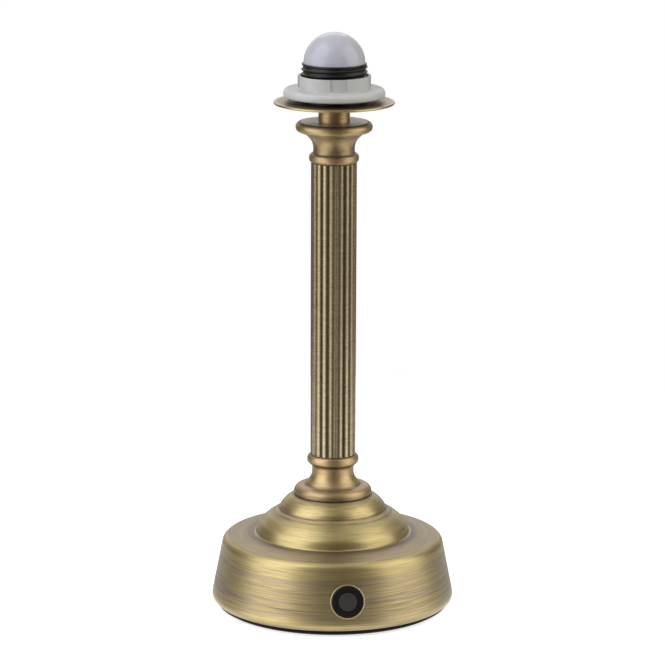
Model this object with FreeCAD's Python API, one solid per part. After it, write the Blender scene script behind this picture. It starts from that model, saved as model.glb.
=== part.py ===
# Cordless column table lamp: weighted spun base, reeded column, turned capital and a
# threaded light head that takes a shade ring. Millimetres, +Z up, the underside at z = 0,
# the lamp's axis on Z, the push-button at the front (-Y) and the charging port at the back.
import FreeCAD, Part
import math
import os

from FreeCAD import Rotation, Vector

# Overall sizes
FOOT_RADIUS = 64.2
COVER_RADIUS = 70.5
COVER_FOOT_RADIUS = 67.0
COVER_UNDERSIDE = 0.7
RIM_Z = 4.2
SHEET = 1.2
COLLAR_Z = 69.7
COLUMN_Z = 94.9
CAPITAL_Z = 272.8
CAPITAL_TOP = 297.25
DISC_Z = 308.1
HOLDER_Z = 309.5
DOME_Z = 332.3
DOME_RADIUS = 18.26

# The wall of the base flares outwards towards the foot: its radius at two heights
WALL_FOOT = (73.1, 8.4)
WALL_HEAD = (68.1, 34.0)
WALL_SLOPE = (WALL_FOOT[0] - WALL_HEAD[0]) / (WALL_HEAD[1] - WALL_FOOT[1])
WALL_TILT = math.degrees(math.atan(WALL_SLOPE))
WALL_LOW = 5.95
WALL_HIGH = 43.3

# The opening that the inside of the base goes in through, and what fits it
HATCH_RADIUS = 60.0
SPIGOT_GAP = 0.3
COVER_INSIDE = 4.8

# Ballast
BALLAST_RADIUS = 59.0
BALLAST_TOP = 12.0
NUT_POCKET_RADIUS = 14.0
NUT_POCKET_TOP = 9.0
WIRE_SLOT_WIDTH = 9.0
SWITCH_NOTCH_Y = -51.0
COVER_SCREW_CIRCLE = 42.0

# Central tie rod, a hollow threaded tube drawn at its major diameter
ROD_RADIUS = 5.0
ROD_BORE = 3.75
ROD_FOOT = 5.0
ROD_HEAD = 318.5
ROD_CLEARANCE = 5.2
THIN_NUT = 3.2
NUT_FLATS = 14.0

# Column
REEDS = 18
REED_CREST = 13.74
REED_RADIUS = 3.11
COLUMN_BORE = 11.5
SPIGOT_LENGTH = 6.0

# Capital
CAP_RADIUS = 20.0
CAP_THICKNESS = 2.2
CAP_GAP = 0.1

# Neck tube and shade plate
NECK_RADIUS = 9.35
NECK_WALL = 1.3
DISC_RADIUS = 35.9

# Light head
HOLDER_RADIUS = 19.06
THREAD_RADIUS = 19.7
THREAD_ENGAGED_RADIUS = 19.45
THREAD_FOOT = 317.0
THREAD_FREE = 325.3
THREAD_HEAD = 331.0
LIP_RADIUS = 19.2
HOLDER_FLOOR = 3.0
HOLDER_BORE = 16.9
LEDGE_RADIUS = 15.2
LEDGE_Z = 322.0
SINK_THICKNESS = 4.0
BOARD_THICKNESS = 1.6
LED_COUNT = 12
LED_CIRCLE = 10.5
DOME_WALL = 1.6

# Shade ring
RING_FOOT = 312.3
FLANGE_RADIUS = 30.2
FLANGE_HEIGHT = 5.0
RING_NUT_RADIUS = 21.7
RING_TOP = 325.1
RING_BORE = 20.0
GRIPS = 5
GRIP_RECESS_DEG = 28.0
GRIP_RECESS_RADIUS = 20.8
GRIP_RECESS_STEP = 1.2
RING_TURN_DEG = -90.0

# Switch, on an axis square to the wall of the base; w is the distance out from the wall
SWITCH_Z = 22.0
BEZEL_RADIUS = 9.4
SWITCH_LIP_INNER = 9.5
SWITCH_LIP_OUTER = 10.2
SWITCH_LIP_HEIGHT = 0.4
BEZEL_HEIGHT = 1.3
BARREL_RADIUS = 7.9
BARREL_LENGTH = 13.0
BUTTON_RADIUS = 5.4
BUTTON_BORE = 5.5
BUTTON_PROUD = 2.0
SHOULDER_RADIUS = 6.4
SHOULDER_W = -2.0
CHAMBER_RADIUS = 7.0
BLOCK_W = -10.0
SPRING_RADIUS = 3.2
SPRING_WIRE = 0.25

# Charging port
PORT_Z = 19.3
PORT_WIDTH = 9.0
PORT_HEIGHT = 3.3

# Battery cells and the board
CELL_RADIUS = 9.2
CELL_LENGTH = 65.0
CELL_X = 24.0
TRAY_FLOOR = 1.5
CELL_Z = BALLAST_TOP + TRAY_FLOOR + CELL_RADIUS
BOARD_Z = 17.0
BOARD_SIZE = (34.0, 19.0)
BOARD_Y = 46.5

UP = Vector(0, 0, 1)


def rounded_path(corners, closed=True):
    """A wire in the XZ plane through (radius, height, rounding) corners, each rounded by a tangent arc."""
    count = len(corners)
    points = [Vector(c[0], 0, c[1]) for c in corners]
    entries, exits, arcs = [], [], []
    for i, corner in enumerate(corners):
        here = points[i]
        rounding = corner[2] if len(corner) > 2 else 0
        if not rounding or (not closed and i in (0, count - 1)):
            entries.append(here)
            exits.append(here)
            arcs.append(None)
            continue
        back = (points[i - 1] - here).normalize()
        ahead = (points[(i + 1) % count] - here).normalize()
        half = back.getAngle(ahead) / 2
        run = rounding / math.tan(half)
        middle = (back + ahead).normalize() * (rounding / math.sin(half) - rounding)
        entries.append(here + back * run)
        exits.append(here + ahead * run)
        arcs.append(here + middle)
    edges = []
    for i in range(count):
        if arcs[i]:
            edges.append(Part.Arc(entries[i], arcs[i], exits[i]).toShape())
        if i == count - 1 and not closed:
            break
        start, end = exits[i], entries[(i + 1) % count]
        if start.distanceToPoint(end) > 1e-4:
            edges.append(Part.LineSegment(start, end).toShape())
    return Part.Wire(edges)


def turned(*corners):
    """A solid of revolution about Z from (radius, height, rounding) corners."""
    return Part.Face(rounded_path(corners)).revolve(Vector(), UP, 360)


def ring(outer, inner, low, high):
    """A plain ring, or a disc where inner is 0."""
    solid = Part.makeCylinder(outer, high - low, Vector(0, 0, low))
    if inner:
        solid = solid.cut(Part.makeCylinder(inner, high - low, Vector(0, 0, low)))
    return solid


def block(x0, x1, y0, y1, z0, z1):
    return Part.makeBox(x1 - x0, y1 - y0, z1 - z0, Vector(x0, y0, z0))


def hexagon(flats, low, high, turn=0.0):
    corner = flats / math.sqrt(3)
    angles = [math.radians(60 * i + turn) for i in range(7)]
    points = [Vector(corner * math.cos(a), corner * math.sin(a), low) for a in angles]
    return Part.Face(Part.makePolygon(points)).extrude(Vector(0, 0, high - low))


def stadium(width, height, y0, y1, z):
    """A rounded slot of the given width and height, standing along Y."""
    half = width / 2 - height / 2
    core = block(-half, half, y0, y1, z - height / 2, z + height / 2)
    ends = [
        Part.makeCylinder(height / 2, y1 - y0, Vector(side * half, y0, z), Vector(0, 1, 0))
        for side in (-1, 1)
    ]
    return core.multiFuse(ends).removeSplitter()


def wire_run(points, radius):
    """A lead of round section along points, each inner point rounded as far as its runs allow."""
    entries, exits, edges = [points[0]], [points[0]], []
    for before, here, after in zip(points, points[1:], points[2:]):
        back, ahead = before - here, after - here
        half = back.getAngle(ahead) / 2
        run = 0.45 * min(back.Length, ahead.Length)
        bend = run * math.tan(half)
        back.normalize()
        ahead.normalize()
        middle = here + (back + ahead).normalize() * (bend / math.sin(half) - bend)
        entries.append(here + back * run)
        exits.append(here + ahead * run)
        edges.append(Part.LineSegment(exits[-2], entries[-1]).toShape())
        edges.append(Part.Arc(entries[-1], middle, exits[-1]).toShape())
    edges.append(Part.LineSegment(exits[-1], points[-1]).toShape())
    path = Part.Wire(edges)
    section = Part.Wire(Part.Circle(points[0], points[1] - points[0], radius).toShape())
    return path.makePipeShell([section], True, False)


def wall_radius(z):
    return WALL_FOOT[0] - WALL_SLOPE * (z - WALL_FOOT[1])


def wall_cone(offset):
    """The solid inside the straight wall of the base, grown by offset square to the wall."""
    grow = offset / math.cos(math.radians(WALL_TILT))
    low, high = 4.0, 36.0
    return Part.makeCone(
        wall_radius(low) + grow, wall_radius(high) + grow, high - low, Vector(0, 0, low)
    )


def at_switch(shape):
    """Moves a shape drawn about Z, with z = 0 on the wall, to the switch's place at the front."""
    tilt = math.radians(WALL_TILT)
    outwards = Vector(0, -math.cos(tilt), math.sin(tilt))
    place = FreeCAD.Placement(
        Vector(0, -wall_radius(SWITCH_Z), SWITCH_Z), Rotation(UP, outwards)
    )
    placed = shape.copy()
    placed.Placement = place.multiply(shape.Placement)
    return placed


def group(shapes):
    return Part.makeCompound(shapes)


def switch_lip():
    """Low rounded lip round the switch hole, of one height above the curved wall all the way."""
    tube = at_switch(ring(SWITCH_LIP_OUTER, SWITCH_LIP_INNER, -1.6, 1.0))
    lip = tube.common(wall_cone(SWITCH_LIP_HEIGHT))
    crest = next(face for face in lip.Faces if isinstance(face.Surface, Part.Cone))
    return lip.makeFillet(SWITCH_LIP_HEIGHT / 2, crest.Edges)


def base_shell():
    """Spun sheet: rolled rim, flaring wall, gently coned top and two domed steps under the collar."""
    outline = rounded_path(
        [
            (HATCH_RADIUS, RIM_Z),
            (70.9, RIM_Z, 0.4),
            (wall_radius(WALL_LOW), WALL_LOW, 4.4),
            (wall_radius(WALL_HIGH), WALL_HIGH, 5.2),
            (46.4, 46.25, 0.9),
            (45.2, 51.4, 6.0),
            (39.6, 56.5, 14.0),
            (32.4, 61.0, 1.2),
            (31.3, 63.5, 3.5),
            (28.0, 67.4, 12.0),
            (23.6, COLLAR_Z),
            (ROD_CLEARANCE, COLLAR_Z),
        ],
        closed=False,
    )
    profile = outline.makeOffset2D(SHEET, join=0, fill=True, openResult=True)
    shell = profile.revolve(Vector(), UP, 360)
    hole = at_switch(Part.makeCylinder(BARREL_RADIUS + 0.15, 20, Vector(0, 0, -10)))
    port = stadium(PORT_WIDTH + 4.2, PORT_HEIGHT + 4.2, 60, 80, PORT_Z)
    return shell.fuse(switch_lip()).cut(hole).cut(port)


def base_cover():
    """Black cover plate with a spigot that centres it in the rolled rim of the shell."""
    plate = turned(
        (0, COVER_UNDERSIDE),
        (COVER_FOOT_RADIUS, COVER_UNDERSIDE, 0.6),
        (69.6, 2.2, 1.0),
        (COVER_RADIUS, RIM_Z - 0.3, 0.3),
        (COVER_RADIUS, RIM_Z),
        (HATCH_RADIUS - SPIGOT_GAP, RIM_Z),
        (HATCH_RADIUS - SPIGOT_GAP, COVER_INSIDE, 0.6),
        (0, COVER_INSIDE),
    )
    groove = ring(FOOT_RADIUS, 52.0, 0, 1.3)
    wire_dish = ring(17.0, 0, 2.2, COVER_INSIDE)
    plate = plate.cut(groove).cut(wire_dish)
    for x, y in cover_screw_places():
        head = Part.makeCone(4.2, 2.2, 2.0, Vector(x, y, COVER_UNDERSIDE))
        shank = Part.makeCylinder(2.2, COVER_INSIDE, Vector(x, y, 0))
        plate = plate.cut(head.fuse(shank))
    return plate


def cover_screw_places():
    angles = [math.radians(45 + 90 * i) for i in range(4)]
    return [(COVER_SCREW_CIRCLE * math.cos(a), COVER_SCREW_CIRCLE * math.sin(a)) for a in angles]


def cover_screws():
    screws = []
    for x, y in cover_screw_places():
        head = Part.makeCone(4.0, 2.0, 2.0, Vector(x, y, COVER_UNDERSIDE + 0.1))
        shank = Part.makeCylinder(2.0, 8.0, Vector(x, y, COVER_UNDERSIDE + 0.1))
        drive = hexagon(2.5, COVER_UNDERSIDE, COVER_UNDERSIDE + 1.4)
        drive.translate(Vector(x, y, 0))
        screws.append(head.fuse(shank).cut(drive))
    return group(screws)


def anti_slip_ring():
    return turned(
        (52.2, 0, 0.3), (FOOT_RADIUS - 0.1, 0, 0.4), (FOOT_RADIUS - 0.1, 1.3), (52.2, 1.3)
    )


def ballast_plate():
    """Cast iron weight with a pocket for the tie rod's nut, a slot for the leads and a switch notch."""
    plate = turned(
        (0, COVER_INSIDE), (BALLAST_RADIUS, COVER_INSIDE, 1), (BALLAST_RADIUS, BALLAST_TOP, 1.5),
        (0, BALLAST_TOP),
    )
    pocket = ring(NUT_POCKET_RADIUS, 0, COVER_INSIDE, NUT_POCKET_TOP)
    hole = ring(ROD_CLEARANCE, 0, 0, BALLAST_TOP)
    slot = block(-WIRE_SLOT_WIDTH / 2, WIRE_SLOT_WIDTH / 2, 12.5, 70, 0, 20)
    notch = block(-13, 13, -70, SWITCH_NOTCH_Y, 0, 20)
    plate = plate.cut(pocket).cut(hole).cut(slot).cut(notch)
    for x, y in cover_screw_places():
        plate = plate.cut(Part.makeCylinder(2.0, 6.0, Vector(x, y, COVER_INSIDE)))
    return plate


def tie_rod():
    return ring(ROD_RADIUS, ROD_BORE, ROD_FOOT, ROD_HEAD)


def rod_nut(low):
    return hexagon(NUT_FLATS, low, low + THIN_NUT).cut(ring(ROD_RADIUS, 0, low, low + THIN_NUT))


def spacer_tube():
    return ring(7.2, ROD_CLEARANCE, BALLAST_TOP, COLLAR_Z - SHEET - 1.5)


def shell_washer():
    return ring(13.0, ROD_CLEARANCE, COLLAR_Z - SHEET - 1.5, COLLAR_Z - SHEET)


def lower_collar():
    """Turned foot of the column: torus, hollow neck and bead, with a spigot into the column."""
    body = turned(
        (ROD_CLEARANCE, COLLAR_Z),
        (23.55, COLLAR_Z, 1.0),
        (23.5, 74.9, 3.9),
        (17.4, 75.7, 0.4),
        (16.9, 75.9),
        (12.6, 81.2, 9.0),
        (12.6, 87.2, 1.8),
        (14.2, 88.7, 0.2),
        (15.6, 88.7, 2.2),
        (15.6, 94.3, 2.8),
        (13.2, 94.6, 0.2),
        (13.2, COLUMN_Z),
        (COLUMN_BORE, COLUMN_Z),
        (COLUMN_BORE, COLUMN_Z + SPIGOT_LENGTH, 0.6),
        (ROD_CLEARANCE, COLUMN_Z + SPIGOT_LENGTH),
    )
    recess = turned(
        (8.0, COLLAR_Z), (19.5, COLLAR_Z), (19.5, 74.0, 2.0), (10.5, 79.0, 2.0), (8.0, 86.0, 1.0)
    )
    return body.cut(recess)


def column_tube():
    """Drawn tube whose section is a ring of convex reeds, meeting in sharp grooves."""
    pitch = 2 * math.pi / REEDS
    centre = REED_CREST - REED_RADIUS
    half = centre * math.sin(pitch / 2)
    root = centre * math.cos(pitch / 2) + math.sqrt(REED_RADIUS**2 - half**2)
    start = -math.pi / 2
    edges = []
    for i in range(REEDS):
        angles = [start + pitch * (i + step) for step in (0, 0.5, 1)]
        points = [
            Vector(r * math.cos(a), r * math.sin(a), COLUMN_Z)
            for r, a in zip((root, REED_CREST, root), angles)
        ]
        edges.append(Part.Arc(*points).toShape())
    length = CAPITAL_Z - COLUMN_Z
    solid = Part.Face(Part.Wire(edges)).extrude(Vector(0, 0, length))
    return solid.cut(Part.makeCylinder(COLUMN_BORE, length, Vector(0, 0, COLUMN_Z)))


def capital():
    """Turned head of the column: bead, hollow neck and a bold rolled rim round a recessed top."""
    body = turned(
        (ROD_CLEARANCE, CAPITAL_Z - SPIGOT_LENGTH),
        (COLUMN_BORE, CAPITAL_Z - SPIGOT_LENGTH, 0.6),
        (COLUMN_BORE, CAPITAL_Z),
        (13.2, CAPITAL_Z),
        (13.2, 273.1, 0.2),
        (14.85, 273.2, 2.0),
        (14.85, 278.1, 2.2),
        (13.0, 278.4, 0.3),
        (12.35, 279.6, 1.2),
        (12.35, 285.2, 9.0),
        (17.5, 290.4),
        (17.8, 291.3),
        (22.9, 291.3, 2.9),
        (22.9, CAPITAL_TOP, 2.9),
        (CAP_RADIUS + CAP_GAP, CAPITAL_TOP),
        (CAP_RADIUS + CAP_GAP, CAPITAL_TOP - CAP_THICKNESS),
        (ROD_CLEARANCE, CAPITAL_TOP - CAP_THICKNESS),
    )
    recess = turned(
        (8.5, CAPITAL_TOP - CAP_THICKNESS),
        (18.2, CAPITAL_TOP - CAP_THICKNESS),
        (18.2, 293.0, 1.5),
        (8.5, 284.0, 1.5),
    )
    return body.cut(recess)


def capital_cap():
    """Flat disc let into the top of the capital, which leaves a fine joint line inside the rim."""
    low = CAPITAL_TOP - CAP_THICKNESS
    return turned((ROD_CLEARANCE, low), (CAP_RADIUS, low), (CAP_RADIUS, CAPITAL_TOP, 0.35),
                  (ROD_CLEARANCE, CAPITAL_TOP))


def neck_tube():
    return ring(NECK_RADIUS, NECK_RADIUS - NECK_WALL, CAPITAL_TOP, DISC_Z)


def shade_plate():
    """Thin disc that the shade's ring rests on."""
    edge = (HOLDER_Z - DISC_Z) / 2 - 0.02
    return turned(
        (ROD_CLEARANCE, DISC_Z),
        (DISC_RADIUS, DISC_Z, edge),
        (DISC_RADIUS, HOLDER_Z, edge),
        (ROD_CLEARANCE, HOLDER_Z),
    )


def lampholder():
    """Black cup with a plain lip and the shade ring's thread outside.

    The thread's free end is drawn at its major diameter, and the stretch in the ring a little under it.
    """
    return turned(
        (ROD_CLEARANCE, HOLDER_Z),
        (HOLDER_RADIUS, HOLDER_Z),
        (HOLDER_RADIUS, THREAD_FOOT),
        (THREAD_ENGAGED_RADIUS, THREAD_FOOT + 0.4),
        (THREAD_ENGAGED_RADIUS, THREAD_FREE),
        (THREAD_RADIUS, THREAD_FREE),
        (THREAD_RADIUS, THREAD_HEAD - 0.5),
        (LIP_RADIUS, THREAD_HEAD),
        (LIP_RADIUS, DOME_Z, 0.6),
        (HOLDER_BORE, DOME_Z),
        (HOLDER_BORE, LEDGE_Z),
        (LEDGE_RADIUS, LEDGE_Z),
        (LEDGE_RADIUS, HOLDER_Z + HOLDER_FLOOR),
        (ROD_CLEARANCE, HOLDER_Z + HOLDER_FLOOR),
    )


def star_washer():
    """Toothed lock washer between the holder's floor and the top nut."""
    low = HOLDER_Z + HOLDER_FLOOR
    washer = ring(8.6, ROD_CLEARANCE, low, low + 0.8)
    for i in range(10):
        notch = block(7.2, 9.0, -0.7, 0.7, low, low + 0.8)
        notch.rotate(Vector(), UP, 36 * i)
        washer = washer.cut(notch)
    return washer


def heat_sink():
    """Aluminium disc under the LED board, with a ring of fins hanging in the holder."""
    disc = ring(HOLDER_BORE - 0.05, 3.0, LEDGE_Z, LEDGE_Z + SINK_THICKNESS)
    skirt = ring(LEDGE_RADIUS - 0.4, 12.6, LEDGE_Z - 6.0, LEDGE_Z)
    for i in range(8):
        gap = block(12.0, 16.0, -1.6, 1.6, LEDGE_Z - 6.0, LEDGE_Z)
        gap.rotate(Vector(), UP, 45 * i + 22.5)
        skirt = skirt.cut(gap)
    sink = disc.fuse(skirt)
    for side in (-1, 1):
        sink = sink.cut(Part.makeCylinder(1.25, 3.5, Vector(side * 6.0, 0, LEDGE_Z + 0.5)))
    return sink


def led_board():
    low = LEDGE_Z + SINK_THICKNESS
    board = ring(16.6, 0, low, low + BOARD_THICKNESS)
    for side in (-1, 1):
        board = board.cut(Part.makeCylinder(1.5, BOARD_THICKNESS, Vector(side * 6.0, 0, low)))
    return board


def led_board_screws():
    low = LEDGE_Z + SINK_THICKNESS
    screws = []
    for side in (-1, 1):
        shank = Part.makeCylinder(1.25, 3.0 + BOARD_THICKNESS, Vector(side * 6.0, 0, low - 3.0))
        head = Part.makeCylinder(2.6, 1.6, Vector(side * 6.0, 0, low + BOARD_THICKNESS))
        screws.append(shank.fuse(head))
    return group(screws)


def led_chips():
    low = LEDGE_Z + SINK_THICKNESS + BOARD_THICKNESS
    chips = []
    for i in range(LED_COUNT):
        chip = block(LED_CIRCLE - 1.75, LED_CIRCLE + 1.75, -1.4, 1.4, low, low + 0.8)
        chip.rotate(Vector(), UP, 360 / LED_COUNT * (i + 0.5))
        chips.append(chip)
    return group(chips)


def diffuser_dome():
    """Opal half ball with a skirt that clips inside the holder's lip."""
    ball = Part.makeSphere(DOME_RADIUS, Vector(0, 0, DOME_Z), UP, 0, 90, 360)
    hollow = Part.makeSphere(DOME_RADIUS - DOME_WALL, Vector(0, 0, DOME_Z), UP, 0, 90, 360)
    low = LEDGE_Z + SINK_THICKNESS + BOARD_THICKNESS
    rim = ring(DOME_RADIUS, 15.0, DOME_Z, DOME_Z + 1.2)
    skirt = ring(HOLDER_BORE - 0.05, 15.0, low, DOME_Z)
    return ball.cut(hollow).fuse(rim.common(ball)).fuse(skirt).removeSplitter()


def shade_ring():
    """Ring that screws down on the shade: a rounded flange, hollow below, under a gripped nut."""
    flange_top = RING_FOOT + FLANGE_HEIGHT
    body = turned(
        (RING_BORE, RING_FOOT, 0.3),
        (FLANGE_RADIUS, RING_FOOT, 1.3),
        (FLANGE_RADIUS, flange_top, 2.6),
        (RING_NUT_RADIUS, flange_top, 0.4),
        (RING_NUT_RADIUS, RING_TOP, 0.4),
        (RING_BORE, RING_TOP, 0.3),
    )
    under = turned(
        (22.3, RING_FOOT), (27.4, RING_FOOT, 0.3), (27.4, RING_FOOT + 2.2, 0.8),
        (22.3, RING_FOOT + 2.2, 0.8),
    )
    body = body.cut(under)
    depth = GRIP_RECESS_RADIUS - 0.4
    reach = RING_NUT_RADIUS + 1.0
    spread = math.tan(math.radians(GRIP_RECESS_DEG / 2))
    corners = [(depth, depth * spread), (reach, reach * spread), (reach, -reach * spread),
               (depth, -depth * spread), (depth, depth * spread)]
    low = flange_top + GRIP_RECESS_STEP
    wedge = Part.Face(Part.makePolygon([Vector(x, y, low) for x, y in corners]))
    recess = wedge.extrude(Vector(0, 0, RING_TOP - low))
    recess = recess.cut(ring(GRIP_RECESS_RADIUS, 0, low, RING_TOP))
    for i in range(GRIPS):
        cutter = recess.copy()
        cutter.rotate(Vector(), UP, RING_TURN_DEG + 360 / GRIPS * i)
        body = body.cut(cutter)
    return body


def switch_housing():
    """Panel switch body: a bezel seated to the curved wall, a threaded barrel and its chamber."""
    bezel = turned(
        (0, -1.0), (BEZEL_RADIUS, -1.0), (BEZEL_RADIUS, BEZEL_HEIGHT, 0.7), (0, BEZEL_HEIGHT)
    )
    barrel = Part.makeCylinder(BARREL_RADIUS, BARREL_LENGTH, Vector(0, 0, -BARREL_LENGTH))
    bore = Part.makeCylinder(BUTTON_BORE, 20, Vector(0, 0, -10))
    chamber = Part.makeCylinder(
        CHAMBER_RADIUS, SHOULDER_W + BARREL_LENGTH, Vector(0, 0, -BARREL_LENGTH)
    )
    seated = at_switch(bezel).cut(wall_cone(0.02))
    return seated.fuse(at_switch(barrel)).cut(at_switch(bore.fuse(chamber)))


def switch_nut():
    nut = hexagon(19.0, -4.6, -2.0, 30).cut(ring(BARREL_RADIUS, 0, -4.6, -2.0))
    return at_switch(nut)


def push_button():
    """Button with a dished cap, a shoulder that stops it under the bezel, and a stem."""
    body = turned(
        (0, -8.6),
        (1.6, -8.6, 0.3),
        (1.6, SHOULDER_W - 1.2),
        (SHOULDER_RADIUS, SHOULDER_W - 1.2),
        (SHOULDER_RADIUS, SHOULDER_W),
        (BUTTON_RADIUS, SHOULDER_W),
        (BUTTON_RADIUS, BUTTON_PROUD, 0.5),
        (4.2, BUTTON_PROUD),
        (0, BUTTON_PROUD - 0.25),
    )
    return at_switch(body)


def tangent_arc(start, knee, end):
    """The arc from start to end whose end tangents meet at knee, equally far from both."""
    middle = (start + end) * 0.5
    half_chord = start.distanceToPoint(end) / 2
    turn = math.acos(half_chord / start.distanceToPoint(knee))
    rise = (knee - middle).normalize() * (half_chord * math.tan(turn / 2))
    return Part.Arc(start, middle + rise, end).toShape()


def coil_path(radius, low, high, quarters):
    """A helix about Z as pairs of tangent arcs, one pair for each quarter turn."""
    slope = (high - low) / (quarters * math.pi / 2)
    edges = []
    for i in range(quarters):
        ends = []
        for step in (i, i + 1):
            angle = step * math.pi / 2
            across, forward = radius * math.cos(angle), radius * math.sin(angle)
            along = Vector(-forward, across, slope).normalize()
            ends.append((Vector(across, forward, low + slope * angle), along))
        (start, leave), (end, arrive) = ends
        gap = end - start
        both = gap.dot(leave + arrive)
        bend = 2 * (1 - leave.dot(arrive))
        reach = (math.sqrt(both * both + bend * gap.dot(gap)) - both) / bend
        knees = (start + leave * reach, end - arrive * reach)
        meet = (knees[0] + knees[1]) * 0.5
        edges.append(tangent_arc(start, knees[0], meet))
        edges.append(tangent_arc(meet, knees[1], end))
    return Part.Wire(edges)


def button_spring():
    """Open coil spring of four and a half turns round the button's stem."""
    low, high = BLOCK_W + SPRING_WIRE, SHOULDER_W - 1.2 - SPRING_WIRE
    path = coil_path(SPRING_RADIUS, low, high, 18)
    first = path.Edges[0]
    start, along = first.valueAt(first.FirstParameter), first.tangentAt(first.FirstParameter)
    section = Part.Wire(Part.Circle(start, along, SPRING_WIRE).toShape())
    return at_switch(path.makePipeShell([section], True, False))


def contact_block():
    """Block that closes the switch from behind and guides the button's stem."""
    front = ring(CHAMBER_RADIUS, 1.9, -BARREL_LENGTH, BLOCK_W)
    back = ring(6.2, 1.9, -15.0, -BARREL_LENGTH)
    return at_switch(front.fuse(back).removeSplitter()).cut(switch_terminals())


def switch_terminals():
    tabs = [block(x - 0.25, x + 0.25, -1.4, 1.4, -20.0, -11.0) for x in (-3.6, 3.6)]
    return group([at_switch(t) for t in tabs])


def charge_port_bezel():
    """Black surround of the charging port, seated to the wall, with a closed box behind it."""
    outer = stadium(PORT_WIDTH + 7.4, PORT_HEIGHT + 7.4, 60, 80, PORT_Z)
    flange = outer.common(wall_cone(1.0).cut(wall_cone(0.02)))
    barrel = stadium(PORT_WIDTH + 4.0, PORT_HEIGHT + 4.0, 60.5, 71.5, PORT_Z)
    barrel = barrel.common(wall_cone(0.6))
    mouth = stadium(PORT_WIDTH, PORT_HEIGHT, 62.5, 80, PORT_Z)
    return barrel.fuse(flange).cut(mouth)


def charge_socket():
    """Pressed shell of the charging receptacle with its contact tongue."""
    shell = stadium(PORT_WIDTH, PORT_HEIGHT, 62.5, 70.4, PORT_Z)
    inside = stadium(PORT_WIDTH - 0.66, PORT_HEIGHT - 0.66, 63.5, 80, PORT_Z)
    tongue = block(-3.35, 3.35, 63.5, 68.9, PORT_Z - 0.35, PORT_Z + 0.35)
    return shell.cut(inside).fuse(tongue)


def battery_tray():
    """Moulded tray on the ballast with a cradle for each cell and posts for the board."""
    low, floor = BALLAST_TOP, BALLAST_TOP + TRAY_FLOOR
    tray = block(-36, 36, -35.5, 35.5, low, floor)
    tray = tray.fuse(block(-18, 18, 35.5, 55.5, low, floor))
    for y in (-22, 22):
        tray = tray.fuse(block(-36, 36, y - 2, y + 2, low, CELL_Z - 2))
    for y in (-34.75, 34.75):
        tray = tray.fuse(block(-36, 36, y - 0.75, y + 0.75, low, CELL_Z))
    for x in (-14.5, 14.5):
        tray = tray.fuse(Part.makeCylinder(2.5, BOARD_Z - low, Vector(x, BOARD_Y + 6, low)))
        tray = tray.fuse(Part.makeCylinder(2.5, BOARD_Z - low, Vector(x, BOARD_Y - 6, low)))
    for x in (-CELL_X, CELL_X):
        cell_space = Part.makeCylinder(
            CELL_RADIUS, CELL_LENGTH + 3, Vector(x, -CELL_LENGTH / 2 - 1.5, CELL_Z), Vector(0, 1, 0)
        )
        tray = tray.cut(cell_space)
    tray = tray.cut(ring(9.0, 0, 0, 40)).cut(block(-6, 6, 38, 45, 0, 20))
    tray = tray.cut(block(-10.5, 10.5, -30, 36, floor, 40))
    return tray.removeSplitter()


def battery_cell(x):
    """Round lithium cell with its raised positive cap."""
    half = CELL_LENGTH / 2
    body = turned(
        (0, -half), (CELL_RADIUS, -half, 0.8), (CELL_RADIUS, half - 1.5, 0.8),
        (3.6, half - 1.5), (3.6, half, 0.4), (0, half),
    )
    body.rotate(Vector(), Vector(1, 0, 0), -90)
    body.translate(Vector(x, 0, CELL_Z))
    return body


def cell_links():
    """Nickel strips that join the two cells at each end."""
    half = CELL_LENGTH / 2
    front = block(-30, 30, -half - 0.3, -half, CELL_Z - 2.5, CELL_Z + 2.5)
    back = block(-30, 30, half, half + 0.3, CELL_Z - 2.5, CELL_Z + 2.5)
    return group([front, back])


def cell_clamps():
    """Saddles that hold the cells down in the tray, two on each cell."""
    foot, head = CELL_Z + 1.0, CELL_Z + CELL_RADIUS + 1.6
    saddles = []
    for side in (-1, 1):
        cell = Part.makeCylinder(
            CELL_RADIUS, CELL_LENGTH, Vector(side * CELL_X, -CELL_LENGTH / 2, CELL_Z), Vector(0, 1, 0)
        )
        x0, x1 = sorted((side * 12.4, side * 35.6))
        for y in (-22, 22):
            saddles.append(block(x0, x1, y - 3, y + 3, foot, head).cut(cell))
    return group(saddles)


def control_board():
    length, width = BOARD_SIZE
    board = block(-length / 2, length / 2, BOARD_Y - width / 2, BOARD_Y + width / 2, BOARD_Z,
                  BOARD_Z + BOARD_THICKNESS)
    for x in (-14.5, 14.5):
        board = board.cut(Part.makeCylinder(1.2, 20, Vector(x, BOARD_Y + 6, 0)).fuse(
            Part.makeCylinder(1.2, 20, Vector(x, BOARD_Y - 6, 0))))
    return board


def board_parts():
    """The taller parts on the board: coil, driver, capacitor and lead connectors."""
    top = BOARD_Z + BOARD_THICKNESS
    coil = block(-9.5, -3.5, BOARD_Y + 1, BOARD_Y + 7, top, top + 3.0)
    driver = block(0, 5, BOARD_Y + 1.5, BOARD_Y + 5.5, top, top + 1.5)
    capacitor = Part.makeCylinder(2.5, 6.0, Vector(9.5, BOARD_Y + 4, top))
    connectors = [block(x - 2.5, x + 2.5, BOARD_Y - 8.5, BOARD_Y - 4.5, top, top + 4) for x in (-8, 0, 8)]
    return group([coil, driver, capacitor] + connectors)


def board_screws():
    screws = []
    top = BOARD_Z + BOARD_THICKNESS
    for x in (-14.5, 14.5):
        shank = Part.makeCylinder(1.2, BOARD_THICKNESS, Vector(x, BOARD_Y + 6, BOARD_Z))
        head = Part.makeCylinder(2.2, 1.4, Vector(x, BOARD_Y + 6, top))
        screws.append(shank.fuse(head))
    return group(screws)


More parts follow.
